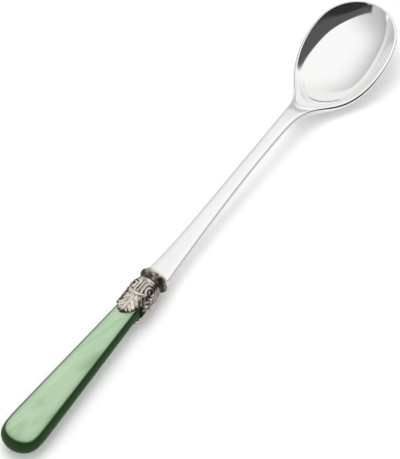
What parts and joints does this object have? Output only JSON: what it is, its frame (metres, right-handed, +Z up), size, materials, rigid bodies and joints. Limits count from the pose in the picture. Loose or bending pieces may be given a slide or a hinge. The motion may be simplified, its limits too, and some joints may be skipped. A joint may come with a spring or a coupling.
{
  "type": "sorbet spoon",
  "caption": "Long spoon with an egg-shaped steel bowl, a flat tapering stem, a cast leaf-and-scroll ferrule and a tapered acrylic handle, for sorbet and tall glasses.",
  "frame": {"origin": "on the table, under the middle of the bounding box, with the spoon lying at rest", "axes": "+X from the butt of the handle to the tip of the bowl, +Y across the bowl, +Z up out of the bowl's hollow"},
  "size_m": [0.2044, 0.0298, 0.0152],
  "materials": {
    "steel": "mirror-polished stainless steel",
    "antiqued_metal": "cast metal, nickel plated and antiqued, dark in its hollows",
    "pearl_acrylic": "pearly light green acrylic, polished",
    "resin": "cured casting resin"
  },
  "bodies": {
    "root": {"steel_spoon": "steel", "ferrule": "antiqued_metal", "handle": "pearl_acrylic", "tang_cement": "resin"}
  },
  "joints": []
}
